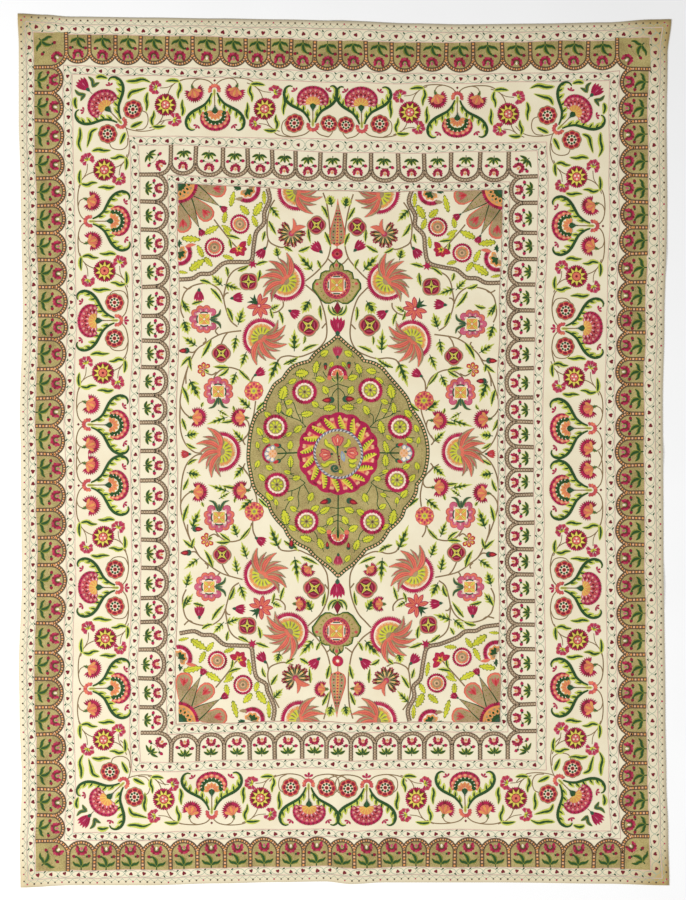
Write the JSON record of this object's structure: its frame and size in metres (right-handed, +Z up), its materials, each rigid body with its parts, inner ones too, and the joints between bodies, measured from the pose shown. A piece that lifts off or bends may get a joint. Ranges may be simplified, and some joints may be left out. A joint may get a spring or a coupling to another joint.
{
  "type": "bedspread",
  "caption": "Embroidered cotton bedspread spread flat, one rectangular hemmed cloth with scalloped floral borders and a central medallion.",
  "frame": {"origin": "under the middle of the cloth, on the surface that it lies on", "axes": "+Y towards the head end, +X to the right seen from above, +Z up"},
  "size_m": [2.026, 2.709, 0.0077],
  "materials": {
    "ivory_cotton": "soft woven cotton, embroidered with silk thread"
  },
  "bodies": {
    "root": {"bedspread_cloth": "ivory_cotton"}
  },
  "joints": []
}
